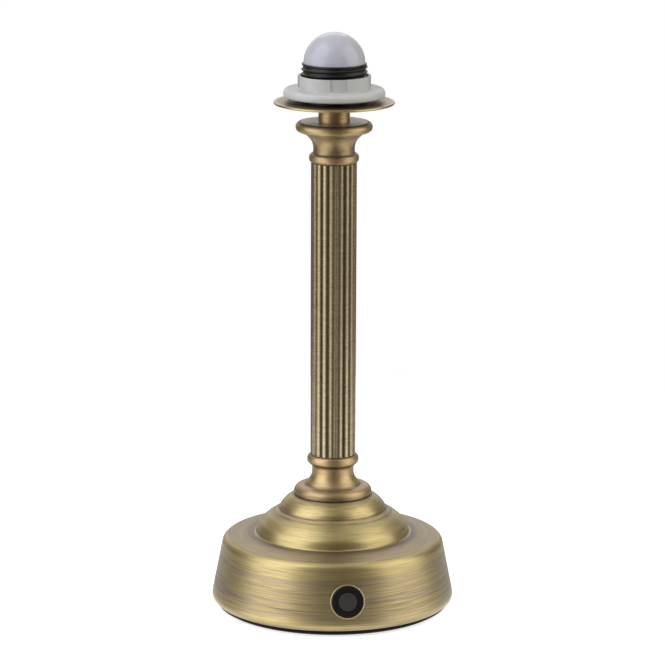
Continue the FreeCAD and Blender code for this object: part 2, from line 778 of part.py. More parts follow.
def led_leads():
    """Pair of leads from the board, along the slot in the ballast and up the tie rod."""
    leads = []
    head = LEDGE_Z + SINK_THICKNESS
    for x in (-0.9, 0.9):
        points = [
            Vector(x, 0, head), Vector(x, 0, 3.2), Vector(x, 9.6, 3.4), Vector(x, 17, 7.5),
            Vector(x, 41.5, 7.5), Vector(x, 41.5, BOARD_Z),
        ]
        leads.append(wire_run(points, 0.6))
    return group(leads)


def switch_leads():
    """Pair of leads from the switch's tabs, round the left of the tray, to the board."""
    leads = []
    floor = BALLAST_TOP + 1.4
    for x, out in ((3.6, 0.0), (-3.6, 1.6)):
        tab = at_switch(Part.Vertex(Vector(x, 0, -20.0))).Point
        inside = at_switch(Part.Vertex(Vector(x, 0, -23.0))).Point
        points = [
            tab,
            inside,
            Vector(x - 7, -40.9 - out, floor + 0.6),
            Vector(-30, -39.7 - out, floor),
            Vector(-39.6 - out, -35.4 - out, floor),
            Vector(-41.6 - out, -20, floor),
            Vector(-42 - out, 8, floor),
            Vector(-38.6 - out, 37.4 + out, floor),
            Vector(-26, 39.2 + out, floor + 1.5),
            Vector(-19.5, 39.2 + out, 21.0),
            Vector(-10.5, 39.2 + out, 21.0),
        ]
        leads.append(wire_run(points, 0.6))
    return group(leads)


def battery_leads():
    """Leads from the two cell strips to the board, the front one between the cells."""
    half = CELL_LENGTH / 2
    front = [
        Vector(9.2, -half, 22.0), Vector(9.2, -24, 22.0), Vector(9.2, -12, 16.4),
        Vector(9.2, 14, 16.4), Vector(9.2, 27, 19.4), Vector(9.2, BOARD_Y - 8.5, 19.4),
    ]
    back = [Vector(6.8, half + 0.3, 21.0), Vector(6.8, BOARD_Y - 8.5, 21.0)]
    return group([wire_run(front, 0.6), wire_run(back, 0.6)])


def charge_leads():
    """Pair of leads from the back of the charging port, over the board, to its connector."""
    leads = []
    for x in (-1.2, 1.2):
        points = [
            Vector(x, 60.5, PORT_Z), Vector(x, 57.6, PORT_Z), Vector(x, 53.6, 22.2),
            Vector(x, 47.0, 21.6), Vector(x, BOARD_Y - 4.5, 21.6),
        ]
        leads.append(wire_run(points, 0.6))
    return group(leads)


def build():
    nodes = {
        "anti_slip_ring": anti_slip_ring(),
        "base_cover": base_cover(),
        "cover_screws": cover_screws(),
        "base_shell": base_shell(),
        "ballast_plate": ballast_plate(),
        "tie_rod": tie_rod(),
        "tie_rod_nut_bottom": rod_nut(NUT_POCKET_TOP - 1.0 - THIN_NUT),
        "tie_rod_washer": ring(11.0, ROD_CLEARANCE, NUT_POCKET_TOP - 1.0, NUT_POCKET_TOP),
        "spacer_tube": spacer_tube(),
        "shell_washer": shell_washer(),
        "lower_collar": lower_collar(),
        "column_tube": column_tube(),
        "capital": capital(),
        "capital_cap": capital_cap(),
        "neck_tube": neck_tube(),
        "shade_plate": shade_plate(),
        "lampholder": lampholder(),
        "star_washer": star_washer(),
        "tie_rod_nut_top": rod_nut(HOLDER_Z + HOLDER_FLOOR + 0.8),
        "heat_sink": heat_sink(),
        "led_board": led_board(),
        "led_board_screws": led_board_screws(),
        "led_chips": led_chips(),
        "diffuser_dome": diffuser_dome(),
        "shade_ring": shade_ring(),
        "switch_housing": switch_housing(),
        "switch_nut": switch_nut(),
        "push_button": push_button(),
        "button_spring": button_spring(),
        "contact_block": contact_block(),
        "switch_terminals": switch_terminals(),
        "charge_port_bezel": charge_port_bezel(),
        "charge_socket": charge_socket(),
        "battery_tray": battery_tray(),
        "battery_cell_left": battery_cell(-CELL_X),
        "battery_cell_right": battery_cell(CELL_X),
        "cell_links": cell_links(),
        "cell_clamps": cell_clamps(),
        "control_board": control_board(),
        "board_parts": board_parts(),
        "board_screws": board_screws(),
        "led_leads": led_leads(),
        "switch_leads": switch_leads(),
        "battery_leads": battery_leads(),
        "charge_leads": charge_leads(),
    }
    return nodes


def main():
    os.makedirs("parts", exist_ok=True)
    for name, shape in build().items():
        if not shape.isValid():
            print("not valid:", name)
        print(f"{name:20s} solids {len(shape.Solids):2d} volume {shape.Volume:10.1f}")
        shape.exportStep(f"parts/{name}.step")


main()
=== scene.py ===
"""Looks of a cordless column table lamp, laid out as an add-on and run as a script."""
import math

import bpy
from bpy.props import FloatProperty, FloatVectorProperty, IntProperty, PointerProperty
from mathutils import Matrix, Vector


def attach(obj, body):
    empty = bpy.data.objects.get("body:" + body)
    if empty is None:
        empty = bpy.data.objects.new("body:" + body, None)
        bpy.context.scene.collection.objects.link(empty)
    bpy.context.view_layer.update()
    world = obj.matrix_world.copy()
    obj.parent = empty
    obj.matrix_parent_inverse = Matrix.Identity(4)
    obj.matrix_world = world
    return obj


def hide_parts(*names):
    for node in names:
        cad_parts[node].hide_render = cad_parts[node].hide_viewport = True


bl_info = {
    "name": "Column Table Lamp",
    "version": (1, 0, 0),
    "blender": (4, 5, 0),
    "location": "View3D > Sidebar > Lamp",
    "description": "Finishes a cordless column table lamp round its CAD frame and lights it",
    "category": "Add Mesh",
}

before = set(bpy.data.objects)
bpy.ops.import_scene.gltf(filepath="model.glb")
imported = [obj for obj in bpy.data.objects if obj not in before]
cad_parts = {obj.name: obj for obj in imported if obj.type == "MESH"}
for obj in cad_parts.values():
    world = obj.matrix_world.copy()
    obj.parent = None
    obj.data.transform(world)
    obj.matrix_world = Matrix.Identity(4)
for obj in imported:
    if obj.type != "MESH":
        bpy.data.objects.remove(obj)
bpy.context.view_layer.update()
MM = 0.001
WHITE = (1.0, 1.0, 1.0)

# Marks of the brushing: width in millimetres, and how many times a line fades in a turn. The real
# ones are finer, and are drawn as coarse as the render needs to show them
BROAD_MARKS = {"width": 2.2, "turns": 3.5}
STREAKS = {"width": 0.42, "turns": 7.0, "detail": 1.0}
SCRATCHES = {"width": 0.48, "turns": 2.8, "detail": 0.5}
ROSY_BANDS = {"width": 1.8, "turns": 1.8}
# The broad marks' share of the drag, how deep a scratch goes, and how far the finest lines dull it
BROAD_SHARE = 0.15
SCRATCH_DEPTH = 0.38
DULLING = 0.3

# The switch hole in the base's leaning wall, and the lip round it
WALL_LEAN = math.radians(11.05)
SWITCH_MIDDLE = Vector((0.0, -70.44, 22.0)) * MM
LIP_RADIUS = 9.85 * MM
LIP_HALF_WIDTH = 0.6 * MM

# The holder's thread, in millimetres: where its first turn starts, where it is cut off at both
# ends, and the plug that clears its inside
THREAD_START = 314.0
THREAD_TURNS = 7
THREAD_ENDS = (317.4, 330.7)
PLUG_LENGTH = 50.0
PLUG_MIDDLE = 324.0

# How near points are joined, in metres: along a chain, and all over a piece
CHAIN_GAP = 1e-6
PIECE_GAP = 2e-6

# Softboxes: turn round the lamp in degrees, distance and height in metres, size, power and tint
SOFTBOXES = {
    "soft_left": (-73.5, 1.6, 1.15, (1.95, 3.0), 43.0, (0.97, 1.0, 1.09)),
    "soft_right": (69.0, 1.6, 0.95, (1.75, 2.1), 22.5, WHITE),
    "soft_back": (175.0, 2.2, 1.7, (1.6, 1.0), 6.0, WHITE),
}
LAMP_MIDDLE = Vector((0.0, 0.0, 0.15))

# What metal mirrors of the room: a direction, how far towards it the change starts and ends, the
# level that it reaches there, and how it gets there
GLOWS = {
    "behind": ((0.05, 0.99, 0.0), 0.7, 0.95, 1.0, "SMOOTHSTEP"),
    "above": ((0.0, 0.0, 1.0), -0.05, 0.15, 1.0, "SMOOTHSTEP"),
    "overhead": ((0.06, 0.4, 1.0), 0.53, 1.0, 1.0, "SMOOTHSTEP"),
    "beside": ((-0.72, -0.66, -0.2), 0.82, 0.95, 0.4, "SMOOTHSTEP"),
    "under": ((0.0, 0.0, -1.0), 0.0, 0.15, -0.05, "SMOOTHSTEP"),
    "ahead": ((0.0, -1.0, 0.0), 0.5, 0.9, 1.0, "LINEAR"),
}
ROOM_LEVEL = 0.225
ROOM_ON_MATT = 0.3
ROOM_TINT = (1.0, 0.9, 0.74)


def colour(code):
    """An sRGB hex colour as linear RGB."""
    values = [int(code[i:i + 2], 16) / 255 for i in (1, 3, 5)]
    return tuple(v / 12.92 if v <= 0.04045 else ((v + 0.055) / 1.055) ** 2.4 for v in values)


def paint(name, code, what):
    return FloatVectorProperty(
        name=name, description=what, subtype="COLOR", size=3, min=0.0, max=1.0, default=colour(code)
    )


def length(name, value, what):
    return FloatProperty(
        name=name, description=what, default=value, subtype="DISTANCE", unit="LENGTH"
    )


class LampSizes(bpy.types.PropertyGroup):
    thread_pitch: length("Thread pitch", 2.95 * MM, "Rise of the holder's thread in one turn")
    thread_crest: length("Thread crest", 19.7 * MM, "Radius over the holder's thread")
    thread_root: length("Thread root", 18.5 * MM, "Radius at the foot of the holder's thread")
    thread_steps: IntProperty(name="Thread steps", description="Facets in one turn", default=96)


class LampColours(bpy.types.PropertyGroup):
    brass_bright: paint("Bright brass", "#B09F6A", "Brass where the brown has been brushed off")
    # Rosy brass also paints the pinkish highlight under the base's first groove
    brass_rose: paint("Rosy brass", "#9A8671", "Brass where a trace of the pink-brown is left")
    brass_column: paint("Column brass", "#C1B08A", "Brass of the reeded column's crests")
    groove_brown: paint("Groove brown", "#3A2F27", "Brown left deep between the column's reeds")
    brass_warm: paint("Warm brass", "#BCA26F", "Brass of the turned pieces, a little redder")
    # Browned brass also paints shade: round the collar's foot and the second dome's foot on the
    # base, on the disc's top and at the neck's ends
    brass_brown_and_shade: paint("Browned brass", "#554844", "Brass in hollows and drag lines, left brown")
    # The lip's paler brass is a painted highlight along its edge
    brass_lip_highlight: paint("Lip brass", "#CBBE96", "Brass of the lip round the switch, rubbed palest")
    cap_brown: paint("Cap brown", "#CCC4C0", "Browned cap over the capital, greyer than the rest")
    ring_grey: paint("Ring grey", "#B9B8B3", "Moulded plastic of the shade ring")
    dome_opal: paint("Dome opal", "#B4B3BA", "Moulded opal of the light's dome")
    black: paint("Black", "#171412", "Moulded black of the holder, the switch and the port")
    button_grey: paint("Button grey", "#36332F", "Cap of the push-button")


class LampStudio(bpy.types.PropertyGroup):
    distance: length("Camera distance", 2.136, "From the lamp's axis to the camera, level")
    camera_height: length("Camera height", 0.6506, "Of the camera over the floor")
    aim_height: length("Aim height", 0.1692, "Of the point on the axis that the camera faces")
    aim_side: length("Aim to the side", -0.5 * MM, "How far beside the axis the camera faces")
    turn: FloatProperty(
        name="Turn", description="Camera's place round the lamp", default=math.radians(-7.4),
        subtype="ANGLE",
    )
    roll: FloatProperty(
        name="Roll", description="Camera's lean", default=math.radians(0.22), subtype="ANGLE"
    )
    lens: FloatProperty(
        name="Lens", description="Focal length", default=197.6, subtype="DISTANCE_CAMERA"
    )


# Materials

def add(tree, kind, inputs=None, out=None, **settings):
    """Adds a shader node with its settings; inputs holds values, or the sockets that feed it.

    Gives the node, or the one of its outputs that out names or counts."""
    node = tree.nodes.new("ShaderNode" + kind)
    for name, value in settings.items():
        setattr(node, name, value)
    for name, value in (inputs or {}).items():
        socket = node.inputs[name]
        if isinstance(value, bpy.types.NodeSocket):
            tree.links.new(value, socket)
        elif socket.type == "RGBA":
            socket.default_value = (*value[:3], 1.0)
        else:
            socket.default_value = value
    return node if out is None else node.outputs[out]


def sheet(name):
    """An empty material and its tree."""
    material = bpy.data.materials.new(name)
    material.use_nodes = True
    material.node_tree.nodes.clear()
    return material, material.node_tree


def curve(tree, value, stops):
    """A smooth curve through (place, level) stops, level beyond the first and the last."""
    low, high = stops[0][0], stops[-1][0]
    span = add(tree, "MapRange", {"Value": value, "From Min": low, "From Max": high}, 0)
    ramp = add(tree, "ValToRGB", {"Fac": span})
    ramp.color_ramp.interpolation = "EASE"
    points = ramp.color_ramp.elements
    while len(points) < len(stops):
        points.new(1.0)
    for point, (place, level) in zip(points, stops):
        point.position = (place - low) / (high - low)
        point.color = (level, level, level, 1.0)
    return ramp.outputs["Color"]


def lathe(tree):
    """Radius and height on a turned piece in millimetres, and cosine and sine of the way round."""
    place = add(tree, "TexCoord", out="Object")
    scaled = add(tree, "VectorMath", {0: place, "Scale": 1 / MM}, 0, operation="SCALE")
    parts = add(tree, "SeparateXYZ", {0: scaled})
    flat = add(tree, "CombineXYZ", {0: parts.outputs[0], 1: parts.outputs[1]}, 0)
    radius = add(tree, "VectorMath", {0: flat}, "Value", operation="LENGTH")
    unit = add(tree, "VectorMath", {0: flat}, 0, operation="NORMALIZE")
    way = add(tree, "SeparateXYZ", {0: unit})
    return radius, parts.outputs[2], way.outputs[0], way.outputs[1]


def drag_lines(tree, axis, width, turns, detail=2.0):
    """Noise drawn out round the axis: lines about width mm apart that fade turns times a turn."""
    radius, height, cosine, sine = axis
    # Going round the lamp is a circle of this radius through the noise
    along = turns / 2.2
    vector = add(tree, "CombineXYZ", {
        0: add(tree, "Math", {0: radius, 1: 1.5 * width}, 0, operation="DIVIDE"),
        1: add(tree, "Math", {0: height, 1: width}, 0, operation="DIVIDE"),
        2: add(tree, "Math", {0: cosine, 1: along}, 0, operation="MULTIPLY"),
    }, 0)
    return add(tree, "TexNoise", {
        "Vector": vector,
        "W": add(tree, "Math", {0: sine, 1: along}, 0, operation="MULTIPLY"),
        "Scale": 1.0,
        "Detail": detail,
        "Roughness": 0.55,
    }, "Fac", noise_dimensions="4D")


def antique_brass(
    name, bright, brown, relief_and_light, along,
    drag=0.5, grain=0.35, gloss=0.34, rose=0.5, calm=None,
):
    """Browned brass brushed back in the lathe: bright on what stands proud, brown in the hollows.

    The first stops, (place, level) pairs, say how far the brown is off: the patina of the hollows,
    and on the base, the neck and the disc painted shade and painted highlights too. along says
    whether a place is a radius or a height in millimetres. drag is how strong the marks are, and
    calm holds stops that weaken them. grain is the width of the finest lines in millimetres, gloss
    the roughness of bright metal, and rose how much pink-brown is left, as one level or as stops;
    on the base some of these stops paint a rosy highlight under its first groove."""
    material, tree = sheet(name)
    axis = lathe(tree)
    place = axis[0] if along == "radius" else axis[1]
    broad, streak, scratch, band = (
        add(tree, "MapRange", {
            "Value": drag_lines(tree, axis, **marks), "From Min": low, "From Max": high,
        }, 0)
        for marks, low, high in (
            (BROAD_MARKS, 0.3, 0.7), (STREAKS, 0.32, 0.68),
            (SCRATCHES, 0.62, 0.7), (ROSY_BANDS, 0.42, 0.72),
        )
    )
    fine = drag_lines(tree, axis, grain, 16.0, detail=1.0)
    # How bright the metal is: its patina and painted light, moved up and down by the marks
    mixed = add(tree, "Mix", {"Factor": BROAD_SHARE, 2: streak, 3: broad}, 0)
    shift = add(tree, "Math", {0: mixed, 1: drag, 2: -drag / 2}, 0, operation="MULTIPLY_ADD")
    shift = add(tree, "Math", {
        0: scratch, 1: -SCRATCH_DEPTH * drag, 2: shift,
    }, 0, operation="MULTIPLY_ADD")
    level = add(tree, "Math", {
        0: shift, 1: curve(tree, place, calm) if calm else 1.0, 2: curve(tree, place, relief_and_light),
    }, 0, operation="MULTIPLY_ADD", use_clamp=True)
    rosy = add(tree, "Math", {
        0: band, 1: curve(tree, place, rose) if isinstance(rose, list) else rose,
    }, 0, operation="MULTIPLY")
    metal = add(tree, "Mix", {
        "Factor": rosy, 6: bright, 7: bpy.context.scene.lamp_colours.brass_rose,
    }, 2, data_type="RGBA")
    metal = add(tree, "Mix", {"Factor": level, 6: brown, 7: metal}, 2, data_type="RGBA")
    dull = add(tree, "MapRange", {
        "Value": fine, "From Min": 0.3, "From Max": 0.7, "To Max": DULLING,
    }, 0)
    between = [(a + b) / 2 for a, b in zip(bright, brown)]
    rough = add(tree, "MapRange", {"Value": level, "To Min": gloss + 0.12, "To Max": gloss}, 0)
    # Brushed round the axis, under a clear lacquer that pales the brightest highlights
    shader = add(tree, "BsdfPrincipled", {
        "Base Color": add(tree, "Mix", {
            "Factor": dull, 6: metal, 7: between,
        }, 2, data_type="RGBA"),
        "Metallic": 1.0,
        "Roughness": add(tree, "Math", {0: fine, 1: 0.06, 2: rough}, 0, operation="MULTIPLY_ADD"),
        "Anisotropic": 0.55,
        "Anisotropic Rotation": 0.25,
        "Coat Weight": 0.3,
        "Coat Roughness": 0.32,
        "Normal": add(tree, "Bump", {
            "Height": fine, "Strength": 0.5, "Distance": 0.012 * MM,
        }, 0),
        "Tangent": add(tree, "Tangent", out=0, direction_type="RADIAL", axis="Z"),
    }, 0)
    add(tree, "OutputMaterial", {"Surface": shader})
    return material


def moulded(name, base, roughness, grain=0.35, depth=0.01, coat=0.0, shine=0.5):
    """Moulded plastic, rubber, paint or lacquer: an even colour with a fine grain.

    grain and depth are the grain's width and depth in millimetres. It is wider than the real
    one, so that it shows."""
    material, tree = sheet(name)
    place = add(tree, "TexCoord", out="Object")
    fine = add(tree, "TexNoise", {
        "Vector": place, "Scale": 1 / MM / grain, "Detail": 2.0,
    }, "Fac")
    # Clouds about 11 mm across
    broad = add(tree, "TexNoise", {"Vector": place, "Scale": 90.0, "Detail": 2.0}, "Fac")
    cloud = add(tree, "MapRange", {"Value": broad, "From Min": 0.3, "From Max": 0.7}, 0)
    vary = 0.06
    shader = add(tree, "BsdfPrincipled", {
        "Base Color": add(tree, "Mix", {
            "Factor": cloud,
            6: [v * (1 - vary) for v in base],
            7: [min(1.0, v * (1 + vary) + 0.01 * vary) for v in base],
        }, 2, data_type="RGBA"),
        "Roughness": add(tree, "MapRange", {
            "Value": cloud, "To Min": roughness - 0.04, "To Max": roughness + 0.04,
        }, 0),
        "IOR": 1.5,
        "Coat Weight": coat,
        "Specular IOR Level": shine,
        "Normal": add(tree, "Bump", {
            "Height": fine, "Strength": 0.35, "Distance": depth * MM,
        }, 0),
    }, 0)
    add(tree, "OutputMaterial", {"Surface": shader})
    return material


def plain_metal(name, base, roughness):
    """Plated, drawn or turned metal, with faint clouds half a millimetre across in its polish."""
    material, tree = sheet(name)
    place = add(tree, "TexCoord", out="Object")
    cloud = add(tree, "TexNoise", {"Vector": place, "Scale": 2000.0, "Detail": 3.0}, "Fac")
    shader = add(tree, "BsdfPrincipled", {
        "Base Color": add(tree, "Mix", {
            "Factor": add(tree, "MapRange", {"Value": cloud, "From Min": 0.3, "From Max": 0.7}, 0),
            6: [v * 0.8 for v in base],
            7: base,
        }, 2, data_type="RGBA"),
        "Metallic": 1.0,
        "Roughness": add(tree, "MapRange", {
            "Value": cloud, "To Min": roughness - 0.08, "To Max": roughness + 0.08,
        }, 0),
        "Normal": add(tree, "Bump", {
            "Height": cloud, "Strength": 0.2, "Distance": 0.01 * MM,
        }, 0),
    }, 0)
    add(tree, "OutputMaterial", {"Surface": shader})
    return material


def opal(name, base):
    """Opal plastic: milky and glossy, and a little light goes through its thin wall."""
    material, tree = sheet(name)
    place = add(tree, "TexCoord", out="Object")
    # Clouds about 17 mm across
    cloud = add(tree, "TexNoise", {"Vector": place, "Scale": 60.0, "Detail": 2.0}, "Fac")
    shader = add(tree, "BsdfPrincipled", {
        "Base Color": add(tree, "Mix", {
            "Factor": cloud, 6: [v * 0.97 for v in base], 7: base,
        }, 2, data_type="RGBA"),
        "Roughness": 0.22,
        "IOR": 1.49,
        "Subsurface Weight": 0.35,
        "Subsurface Radius": (1.0, 0.95, 1.05),
        "Subsurface Scale": 2.0 * MM,
    }, 0)
    add(tree, "OutputMaterial", {"Surface": shader})
    return material


def dress(material, *nodes):
    """Gives CAD nodes their material."""
    for node in nodes:
        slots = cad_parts[node].data.materials
        slots.clear()
        slots.append(material)


# Modelling

def start_piece():
    """Leaves edit mode and selects nothing."""
    if bpy.context.object and bpy.context.object.mode != "OBJECT":
        bpy.ops.object.mode_set(mode="OBJECT")
    bpy.ops.object.select_all(action="DESELECT")


def pick(piece):
    """Selects one piece alone."""
    start_piece()
    piece.select_set(True)
    bpy.context.view_layer.objects.active = piece


def chain(name, points):
    """A chain of edges in the XZ plane through (radius, height) points in millimetres."""
    start_piece()
    bpy.ops.mesh.primitive_plane_add(size=1)
    piece = bpy.context.object
    piece.name = piece.data.name = name
    bpy.ops.object.mode_set(mode="EDIT")
    bpy.ops.mesh.select_all(action="SELECT")
    bpy.ops.mesh.merge(type="CENTER")
    bpy.ops.transform.translate(value=Vector((points[0][0], 0, points[0][1])) * MM)
    for before, after in zip(points, points[1:]):
        step = Vector((after[0] - before[0], 0, after[1] - before[1])) * MM
        bpy.ops.mesh.extrude_vertices_move(TRANSFORM_OT_translate={"value": step})
    return piece


def lathe_piece(name, points, steps):
    """A turned piece: a closed chain of (radius, height) points spun round the axis."""
    piece = chain(name, points + points[:1])
    bpy.ops.mesh.select_all(action="SELECT")
    bpy.ops.mesh.remove_doubles(threshold=CHAIN_GAP)
    bpy.ops.mesh.select_all(action="SELECT")
    bpy.ops.mesh.spin(steps=steps, angle=math.tau, center=(0, 0, 0), axis=(0, 0, 1))
    tidy_faces()
    return piece


def tidy_faces():
    """Merges what meets and turns the faces outwards, then leaves edit mode."""
    bpy.ops.mesh.select_all(action="SELECT")
    bpy.ops.mesh.remove_doubles(threshold=PIECE_GAP)
    bpy.ops.mesh.normals_make_consistent(inside=False)
    bpy.ops.object.mode_set(mode="OBJECT")


def use(piece, kind, **settings):
    """Adds a modifier with its settings and applies it."""
    pick(piece)
    modifier = piece.modifiers.new(kind.title(), kind)
    for name, value in settings.items():
        setattr(modifier, name, value)
    bpy.ops.object.modifier_apply(modifier=modifier.name)


class LampPiece:
    bl_options = {"REGISTER", "UNDO"}

    @property
    def looks(self):
        return bpy.context.scene.lamp_colours

    @property
    def sizes(self):
        return bpy.context.scene.lamp_sizes


class LAMP_OT_base(LampPiece, bpy.types.Operator):
    """Finishes the spun base: bright crests, brown hollows, drag lines all round"""

    bl_idname = "lamp.base"
    bl_label = "Base"

    def lip(self, tree):
        """1 on the lip, by the distance from the switch's axis, which is square to the wall."""
        place = add(tree, "TexCoord", out="Object")
        up = Vector((0, math.sin(WALL_LEAN), math.cos(WALL_LEAN)))
        across = add(tree, "VectorMath", {0: place, 1: SWITCH_MIDDLE}, 0, operation="SUBTRACT")
        parts = add(tree, "SeparateXYZ", {0: place})
        flat = add(tree, "CombineXYZ", {
            0: parts.outputs[0],
            1: add(tree, "VectorMath", {0: across, 1: up}, "Value", operation="DOT_PRODUCT"),
        }, 0)
        out = add(tree, "VectorMath", {0: flat}, "Value", operation="LENGTH")
        off = add(tree, "Math", {0: out, 1: LIP_RADIUS}, 0, operation="SUBTRACT")
        near = add(tree, "MapRange", {
            "Value": add(tree, "Math", {0: off}, 0, operation="ABSOLUTE"),
            "From Min": LIP_HALF_WIDTH, "From Max": LIP_HALF_WIDTH / 2,
        }, 0)
        front = add(tree, "Math", {0: parts.outputs[1], 1: 0.0}, 0, operation="LESS_THAN")
        return add(tree, "Math", {0: near, 1: front}, 0, operation="MULTIPLY")

    def execute(self, context):
        # Spun brass, browned and brushed back in the lathe: long drag lines and a soft split
        # highlight
        shell = antique_brass(
            "antique_brass_brushed", self.looks.brass_bright, self.looks.brass_brown_and_shade,
            # Besides the patina, these stops paint light: a painted shadow round the collar's foot,
            # a painted highlight on the fillet at the second dome's foot, a darker ring beyond it
            # that is patina and painted shade, and the shoulder's bright band, worn crest and
            # painted highlight
            [(21.8, 0.0), (23.4, 0.15), (24.6, 0.75), (30.0, 1.0), (31.9, 0.9), (32.4, 0.15),
             (33.3, 0.95), (34.3, 0.85), (35.2, 0.5), (36.4, 0.95), (39.0, 1.0), (46.4, 1.0),
             (47.2, 0.6), (48.0, 0.1), (50.2, 0.12), (52.0, 0.35), (55.0, 0.48), (63.0, 0.5),
             (64.4, 1.0), (66.9, 1.0), (68.0, 0.75), (71.8, 0.6), (73.2, 0.95)],
            "radius", drag=0.62, gloss=0.38,
            # Under the first groove the rosy stops paint a pinkish highlight; elsewhere rose is the
            # metal's own tone
            rose=[(30.0, 0.15), (33.0, 0.9), (35.5, 0.9), (38.0, 0.2), (46.8, 0.2), (48.4, 0.8),
                  (62.0, 0.8), (64.4, 0.0), (67.0, 0.1), (68.6, 1.0), (73.2, 0.9)],
            calm=[(21.8, 1.0), (46.0, 1.0), (49.0, 0.45), (62.0, 0.45), (64.5, 1.0), (73.2, 1.0)],
        )
        # Its lip round the switch hole stands proud and is painted paler still: a painted highlight
        # along its edge
        tree = shell.node_tree
        base = tree.nodes["Principled BSDF"].inputs["Base Color"]
        tree.links.new(add(tree, "Mix", {
            "Factor": self.lip(tree), 6: base.links[0].from_socket, 7: self.looks.brass_lip_highlight,
        }, 2, data_type="RGBA"), base)
        dress(shell, "base_shell")
        return {"FINISHED"}


class LAMP_OT_column(LampPiece, bpy.types.Operator):
    """Finishes the reeded column, the turned pieces at its ends and the shade's disc"""

    bl_idname = "lamp.column"
    bl_label = "Column"

    def execute(self, context):
        looks = self.looks
        # Drawn reeded tube, browned and rubbed across: bright crests and brown grooves
        dress(antique_brass(
            "antique_brass_reeded", looks.brass_column, looks.groove_brown,
            [(12.2, 0.0), (13.0, 0.04), (13.35, 0.22), (13.58, 0.6), (13.75, 0.9)], "radius",
            drag=0.35, grain=0.3, gloss=0.22,
        ), "column_tube")
        # Turned collar with a satin cut: bright bead and foot, brown at the joints
        dress(antique_brass(
            "antique_brass_satin_collar", looks.brass_warm, looks.brass_brown_and_shade,
            [(70.0, 0.1), (71.5, 0.45), (73.5, 0.75), (75.4, 0.6), (76.0, 0.3), (77.5, 0.85),
             (84.0, 1.0), (87.6, 0.85), (88.7, 0.1), (89.6, 0.8), (91.5, 1.0), (93.6, 0.75),
             (94.6, 0.15), (95.0, 0.05)],
            "height", drag=0.35, gloss=0.42,
        ), "lower_collar")
        # Turned capital with the same satin cut: bright rim, browner neck and stronger drag lines
        dress(antique_brass(
            "antique_brass_satin_capital", looks.brass_warm, looks.brass_brown_and_shade,
            [(272.6, 0.05), (273.4, 0.5), (275.4, 1.0), (277.4, 0.6), (278.4, 0.08), (279.4, 0.5),
             (283.0, 0.8), (287.0, 0.75), (290.2, 0.4), (291.4, 0.7), (294.0, 1.0), (296.2, 0.75),
             (297.3, 0.15)],
            "height", drag=0.5, gloss=0.43,
        ), "capital")
        # Flat cap, browned and hardly brushed: an even greyed brown
        dress(antique_brass(
            "antique_brass_dark_cap", looks.brass_warm, looks.cap_brown,
            [(5.0, 0.1), (12.0, 0.12), (18.5, 0.2), (19.6, 0.5), (20.0, 0.1)], "radius",
            drag=0.25, gloss=0.36,
        ), "capital_cap")
        # Drawn neck, brushed round: strong drag lines, and darker at both ends, painted shade under
        # the disc and where it meets the cap
        dress(antique_brass(
            "antique_brass_neck", looks.brass_warm, looks.brass_brown_and_shade,
            [(296.0, 0.3), (298.5, 1.0), (306.0, 1.0), (308.0, 0.4)], "height",
            drag=0.6, gloss=0.42,
        ), "neck_tube")
        # Pressed disc, browned and painted darker across its top as the shade under the ring's
        # flange, and paler at its edge, rubbed metal and a painted highlight
        dress(antique_brass(
            "antique_brass_plate", looks.brass_bright, looks.brass_brown_and_shade,
            [(5.0, 0.1), (20.0, 0.15), (33.0, 0.3), (35.0, 0.85), (35.9, 1.0)], "radius",
            drag=0.4, gloss=0.34,
        ), "shade_plate")
        return {"FINISHED"}


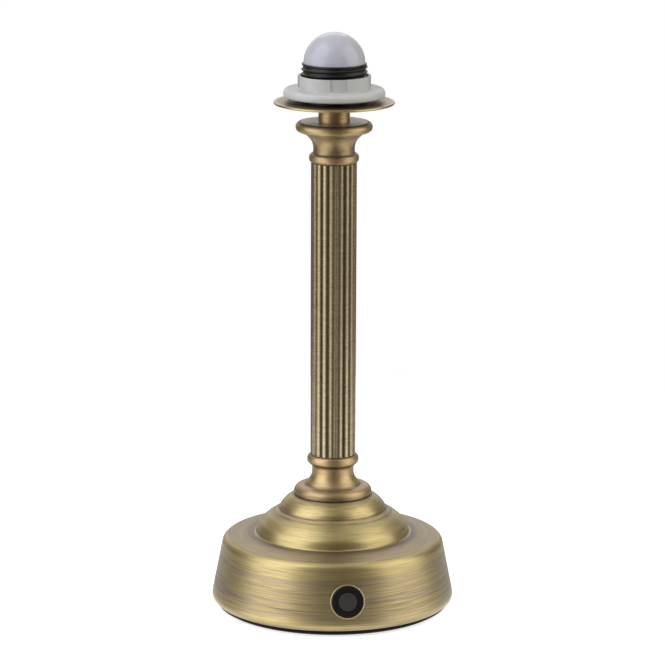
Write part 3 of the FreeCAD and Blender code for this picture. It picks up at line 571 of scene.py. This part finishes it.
class LAMP_OT_holder(LampPiece, bpy.types.Operator):
    """Models the black holder with its thread, and finishes the dome and the shade ring"""

    bl_idname = "lamp.holder"
    bl_label = "Light head"

    def thread(self, pitch, crest, root, core):
        """The holder's thread as a thin tube, a little deeper than the core that it joins."""
        profile = [
            (root, 0.0), (root + 0.12, 0.17), (crest - 0.2, 0.40), (crest, 0.46), (crest, 0.54),
            (crest - 0.2, 0.60), (root + 0.12, 0.83), (root, 1.0),
        ]
        thread = chain("thread", [
            (radius, THREAD_START + share * pitch) for radius, share in profile
        ])
        bpy.ops.object.mode_set(mode="OBJECT")
        steps = self.sizes.thread_steps
        use(thread, "SCREW", angle=math.tau, screw_offset=self.sizes.thread_pitch,
            iterations=THREAD_TURNS, steps=steps, render_steps=steps,
            use_merge_vertices=True, merge_threshold=CHAIN_GAP, axis="Z")
        bpy.ops.object.mode_set(mode="EDIT")
        bpy.ops.mesh.select_all(action="SELECT")
        bpy.ops.mesh.remove_doubles(threshold=PIECE_GAP)
        for height, side in zip(THREAD_ENDS, ("clear_inner", "clear_outer")):
            bpy.ops.mesh.select_all(action="SELECT")
            bpy.ops.mesh.bisect(
                plane_co=(0, 0, height * MM), plane_no=(0, 0, 1), use_fill=True, **{side: True}
            )
        tidy_faces()
        start_piece()
        bpy.ops.mesh.primitive_cylinder_add(
            vertices=steps, radius=(core - 0.4) * MM, depth=PLUG_LENGTH * MM,
            location=(0, 0, PLUG_MIDDLE * MM),
        )
        plug = bpy.context.object
        use(thread, "BOOLEAN", operation="DIFFERENCE", object=plug, solver="EXACT")
        bpy.data.objects.remove(plug)
        return thread

    def execute(self, context):
        sizes, looks = self.sizes, self.looks
        pitch, crest, root = (
            value / MM for value in (sizes.thread_pitch, sizes.thread_crest, sizes.thread_root)
        )
        core = root - 0.3
        holder = lathe_piece("lampholder_threaded", [
            (5.2, 309.5), (19.06, 309.5), (19.06, 317.0), (core, 317.6), (core, 330.4),
            (19.0, 331.0), (19.2, 331.3), (19.2, 332.0), (18.9, 332.3), (16.9, 332.3),
            (16.9, 322.0), (15.2, 322.0), (15.2, 312.5), (5.2, 312.5),
        ], sizes.thread_steps)
        thread = self.thread(pitch, crest, root, core)
        use(holder, "BOOLEAN", operation="UNION", object=thread, solver="EXACT")
        bpy.data.objects.remove(thread)
        pick(holder)
        bpy.ops.object.shade_smooth_by_angle(angle=math.radians(40.0))
        # Moulded phenolic: near black with a low sheen that picks out the thread
        phenolic = moulded("phenolic_black_moulded", looks.black, 0.36, shine=0.35)
        holder.data.materials.clear()
        holder.data.materials.append(phenolic)
        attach(holder, "lamp")
        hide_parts("lampholder")
        # Moulded opal acrylic: milky white with a soft gloss
        dress(opal("opal_pmma_moulded", looks.dome_opal), "diffuser_dome")
        # Moulded polyamide: pale warm grey with a fine matt grain
        dress(moulded("polyamide_grey_moulded", looks.ring_grey, 0.5), "shade_ring")
        return {"FINISHED"}


class LAMP_OT_switch(LampPiece, bpy.types.Operator):
    """Finishes the push-button switch and the charging port"""

    bl_idname = "lamp.switch"
    bl_label = "Switch"

    def execute(self, context):
        # Moulded ABS: near black and matt
        dress(moulded("abs_black_moulded", self.looks.black, 0.48, shine=0.12),
              "switch_housing", "switch_nut", "contact_block", "charge_port_bezel")
        # Moulded ABS of the button: dark grey, a little smoother than its bezel
        dress(moulded("abs_button_grey", self.looks.button_grey, 0.42, shine=0.2), "push_button")
        # Drawn spring steel: bright grey wire
        dress(plain_metal("spring_steel_drawn", colour("#B9BABB"), 0.3), "button_spring")
        # Tinned copper: pale, slightly warm metal
        dress(plain_metal("copper_tinned", colour("#C9C5BC"), 0.32),
              "switch_terminals", "charge_socket", "cell_links")
        return {"FINISHED"}


class LAMP_OT_foot(LampPiece, bpy.types.Operator):
    """Finishes the cover, its rubber ring and screws"""

    bl_idname = "lamp.foot"
    bl_label = "Foot"

    def execute(self, context):
        # Moulded ABS with a coarse texture: dead matt black
        dress(moulded(
            "abs_black_textured", colour("#0F0D0C"), 0.6, grain=0.8, depth=0.03, shine=0.05
        ), "base_cover")
        # Foam rubber: soft black with open pores
        dress(moulded(
            "foam_rubber_black", colour("#1D1B1A"), 0.85, grain=0.5, depth=0.05
        ), "anti_slip_ring")
        # Steel with a black oxide: dark metal with a dull gleam
        dress(plain_metal("steel_black_oxide", colour("#3B3B3D"), 0.4), "cover_screws")
        return {"FINISHED"}


class LAMP_OT_inside(LampPiece, bpy.types.Operator):
    """Finishes what the base and the light head hold inside"""

    bl_idname = "lamp.inside"
    bl_label = "Inside"

    def execute(self, context):
        # Zinc-plated steel: pale grey with a cloudy gleam
        dress(plain_metal("steel_zinc_plated", colour("#B8B9B4"), 0.35),
              "tie_rod", "tie_rod_nut_bottom", "tie_rod_washer", "spacer_tube", "shell_washer",
              "star_washer", "tie_rod_nut_top", "led_board_screws", "board_screws")
        # Painted cast iron: dark grey over the casting's rough skin
        dress(moulded(
            "cast_iron_painted", colour("#33312F"), 0.6, grain=1.2, depth=0.08
        ), "ballast_plate")
        # Turned aluminium: clean silver
        dress(plain_metal("aluminium_turned", colour("#C8CACC"), 0.3), "heat_sink")
        # White lacquer on the light's board: smooth warm white
        dress(moulded("board_white_lacquer", colour("#E4E3DC"), 0.35, grain=1.0), "led_board")
        # Cast phosphor on the chips: egg yellow with a soft gloss
        dress(moulded("phosphor_yellow_cast", colour("#D8B545"), 0.3, grain=0.8), "led_chips")
        # Moulded ABS of the tray: black with a little blue in it
        dress(moulded("abs_black_tray", colour("#26262A"), 0.5), "battery_tray", "cell_clamps")
        # Shrunk film on the cells: smooth blue with a thin gloss
        dress(moulded("cell_sleeve_blue", colour("#2E6096"), 0.3, coat=0.2),
              "battery_cell_left", "battery_cell_right")
        # Green lacquer on the control board: dark and glossy
        dress(moulded(
            "board_green_lacquer", colour("#1E5A36"), 0.3, grain=1.0, coat=0.3
        ), "control_board")
        # Cast epoxy of the board's parts: dull black
        dress(moulded("epoxy_black_cast", colour("#242322"), 0.45), "board_parts")
        # Extruded PVC of the leads: plain red with a low sheen
        dress(moulded("pvc_sheath_red", colour("#9C2620"), 0.4),
              "led_leads", "switch_leads", "battery_leads", "charge_leads")
        return {"FINISHED"}


class LAMP_OT_stage(LampPiece, bpy.types.Operator):
    """Sets the floor, the soft lights and the camera"""

    bl_idname = "lamp.stage"
    bl_label = "Stage"

    def execute(self, context):
        self.floor()
        self.world(context)
        # Two tall softboxes stand at the lamp's sides, a little in front, and a weak one behind
        for name, (turn, away, height, size, power, tint) in SOFTBOXES.items():
            angle = math.radians(turn)
            place = Vector((math.sin(angle) * away, -math.cos(angle) * away, height))
            start_piece()
            bpy.ops.object.light_add(type="AREA", location=place)
            light = bpy.context.object
            light.name = name
            light.data.shape = "RECTANGLE"
            light.data.size, light.data.size_y = size
            light.data.energy = power
            light.data.color = tint
            light.rotation_euler = (LAMP_MIDDLE - place).to_track_quat("-Z", "Y").to_euler()
        self.camera(context)
        context.scene.view_settings.view_transform = "Standard"
        return {"FINISHED"}

    def floor(self):
        """White paper: pale and quite matt, with the lamp's soft shadow on it."""
        start_piece()
        bpy.ops.mesh.primitive_circle_add(vertices=128, radius=0.6, fill_type="NGON")
        floor = bpy.context.object
        floor.name = "floor"
        material, tree = sheet("floor_paper_white")
        path = add(tree, "LightPath")
        # The camera sees it glow up to white round the shadow
        paper = add(tree, "BsdfDiffuse", {"Color": colour("#E6E6E6")}, 0)
        glow = add(tree, "Emission", {"Color": WHITE, "Strength": 0.7}, 0)
        direct = add(tree, "Math", {
            0: path.outputs["Is Camera Ray"], 1: path.outputs["Is Transmission Ray"],
        }, 0, operation="MAXIMUM")
        seen = add(tree, "MixShader", {
            0: direct, 1: paper, 2: add(tree, "AddShader", {0: paper, 1: glow}, 0),
        }, 0)
        # Metal mirrors it bright to both sides and close in, and dim in front
        place = add(tree, "TexCoord", out="Object")
        parts = add(tree, "SeparateXYZ", {0: place})
        out = add(tree, "VectorMath", {0: place}, "Value", operation="LENGTH")
        across = add(tree, "Math", {
            0: add(tree, "Math", {0: parts.outputs[0]}, 0, operation="ABSOLUTE"), 1: out,
        }, 0, operation="DIVIDE")
        aside, ahead, close, far = (
            add(tree, "MapRange", {
                "Value": value, "From Min": start, "From Max": end, "To Max": level,
            }, 0, interpolation_type="SMOOTHSTEP")
            for value, start, end, level in (
                (across, 0.2, 0.75, 1.0), (parts.outputs[1], 0.03, -0.06, 0.9),
                (out, 0.11, 0.075, 0.9), (out, 0.12, 0.25, 1.0),
            )
        )
        left = add(tree, "MapRange", {
            "Value": parts.outputs[0], "From Min": 0.05, "From Max": -0.15,
            "To Min": 1.0, "To Max": 1.15,
        }, 0)
        sides = add(tree, "Math", {0: aside, 1: ahead}, 0, operation="MULTIPLY")
        sides = add(tree, "Math", {0: sides, 1: left}, 0, operation="MULTIPLY")
        light = add(tree, "Math", {0: sides, 1: close}, 0, operation="MAXIMUM")
        middle = add(tree, "Math", {0: 1.0, 1: aside}, 0, operation="SUBTRACT")
        front = add(tree, "Math", {0: parts.outputs[1], 1: 0.0}, 0, operation="LESS_THAN")
        fore = add(tree, "Math", {0: far, 1: middle}, 0, operation="MULTIPLY")
        fore = add(tree, "Math", {0: fore, 1: front}, 0, operation="MULTIPLY")
        fading = add(tree, "Mix", {
            "Factor": fore, 6: colour("#E6E6E6"), 7: colour("#4A4A4A"),
        }, 2, data_type="RGBA")
        mirrored = add(tree, "AddShader", {
            0: add(tree, "BsdfDiffuse", {"Color": fading}, 0),
            1: add(tree, "Emission", {"Color": WHITE, "Strength": light}, 0),
        }, 0)
        upper = add(tree, "MixShader", {
            0: path.outputs["Is Glossy Ray"], 1: seen, 2: mirrored,
        }, 0)
        # From below it is clear, so that the underside can be looked at
        both = add(tree, "MixShader", {
            0: add(tree, "NewGeometry", out="Backfacing"),
            1: upper,
            2: add(tree, "BsdfTransparent", out=0),
        }, 0)
        add(tree, "OutputMaterial", {"Surface": both})
        floor.data.materials.append(material)

    def world(self, context):
        """White to the camera. Metal mirrors a white backdrop behind and overhead, and else a
        dim warm room, and matt surfaces get an even low light."""
        world = context.scene.world or bpy.data.worlds.new("studio")
        context.scene.world = world
        world.use_nodes = True
        tree = world.node_tree
        tree.nodes.clear()
        view = add(tree, "TexCoord", out="Generated")
        glow = {
            name: add(tree, "MapRange", {
                "Value": add(tree, "VectorMath", {0: view, 1: way}, "Value",
                             operation="DOT_PRODUCT"),
                "From Min": start, "From Max": end, "To Max": level,
            }, 0, interpolation_type=kind)
            for name, (way, start, end, level, kind) in GLOWS.items()
        }
        rear = add(tree, "Math", {0: glow["behind"], 1: glow["above"]}, 0, operation="MULTIPLY")
        white = add(tree, "Math", {0: rear, 1: glow["overhead"]}, 0, operation="MAXIMUM")
        room = add(tree, "MapRange", {"Value": white, "To Min": ROOM_LEVEL, "To Max": 1.0}, 0)
        # A little darker low down in front, and paler at the front left
        room = add(tree, "Math", {
            0: glow["under"], 1: glow["ahead"], 2: room,
        }, 0, operation="MULTIPLY_ADD")
        room = add(tree, "Math", {0: room, 1: glow["beside"]}, 0, operation="ADD")
        path = add(tree, "LightPath")
        glossy = path.outputs["Is Glossy Ray"]
        direct = add(tree, "Math", {
            0: path.outputs["Is Camera Ray"], 1: path.outputs["Is Transmission Ray"],
        }, 0, operation="MAXIMUM")
        indirect = add(tree, "Mix", {0: glossy, 2: ROOM_ON_MATT, 3: room}, 0)
        warm = add(tree, "Math", {0: glossy, 1: white}, 0, operation="SUBTRACT", use_clamp=True)
        sky = add(tree, "Background", {
            "Color": add(tree, "Mix", {
                "Factor": warm, 6: WHITE, 7: ROOM_TINT,
            }, 2, data_type="RGBA"),
            "Strength": add(tree, "Mix", {0: direct, 2: indirect, 3: 1.0}, 0),
        }, 0)
        add(tree, "OutputWorld", {"Surface": sky})

    def camera(self, context):
        studio = context.scene.lamp_studio
        side = Vector((math.cos(studio.turn), math.sin(studio.turn), 0)) * studio.aim_side
        back = Vector((math.sin(studio.turn), -math.cos(studio.turn), 0)) * studio.distance
        start_piece()
        bpy.ops.object.camera_add(location=back + Vector((0, 0, studio.camera_height)) + side)
        camera = bpy.context.object
        camera.name = "camera"
        camera.data.lens = studio.lens
        camera.data.sensor_width = 36.0
        camera.data.clip_end = 50.0
        aim = side + Vector((0, 0, studio.aim_height))
        turn = (aim - camera.location).to_track_quat("-Z", "Y").to_matrix().to_4x4()
        lean = Matrix.Rotation(studio.roll, 4, "Z")
        camera.rotation_euler = (turn @ lean).to_euler()
        context.scene.camera = camera


class LAMP_PT_panel(bpy.types.Panel):
    """Lists the lamp's sizes, colours and camera, and its operators"""

    bl_label = "Column Table Lamp"
    bl_idname = "LAMP_PT_panel"
    bl_space_type = "VIEW_3D"
    bl_region_type = "UI"
    bl_category = "Lamp"

    def draw(self, context):
        for group in GROUPS:
            box = self.layout.box()
            settings = getattr(context.scene, group)
            for name in settings.__annotations__:
                box.prop(settings, name)
        for operator in OPERATORS:
            self.layout.operator(operator.bl_idname)


OPERATORS = (
    LAMP_OT_base, LAMP_OT_column, LAMP_OT_holder, LAMP_OT_switch, LAMP_OT_foot, LAMP_OT_inside,
    LAMP_OT_stage,
)
GROUPS = {"lamp_sizes": LampSizes, "lamp_colours": LampColours, "lamp_studio": LampStudio}


def register():
    for group in GROUPS.values():
        bpy.utils.register_class(group)
    for name, group in GROUPS.items():
        setattr(bpy.types.Scene, name, PointerProperty(type=group))
    for operator in OPERATORS:
        bpy.utils.register_class(operator)
    bpy.utils.register_class(LAMP_PT_panel)


def unregister():
    bpy.utils.unregister_class(LAMP_PT_panel)
    for operator in reversed(OPERATORS):
        bpy.utils.unregister_class(operator)
    for name, group in GROUPS.items():
        delattr(bpy.types.Scene, name)
        bpy.utils.unregister_class(group)


def main():
    register()
    for operator in OPERATORS:
        group, name = operator.bl_idname.split(".")
        getattr(getattr(bpy.ops, group), name)()


if __name__ == "__main__":
    main()
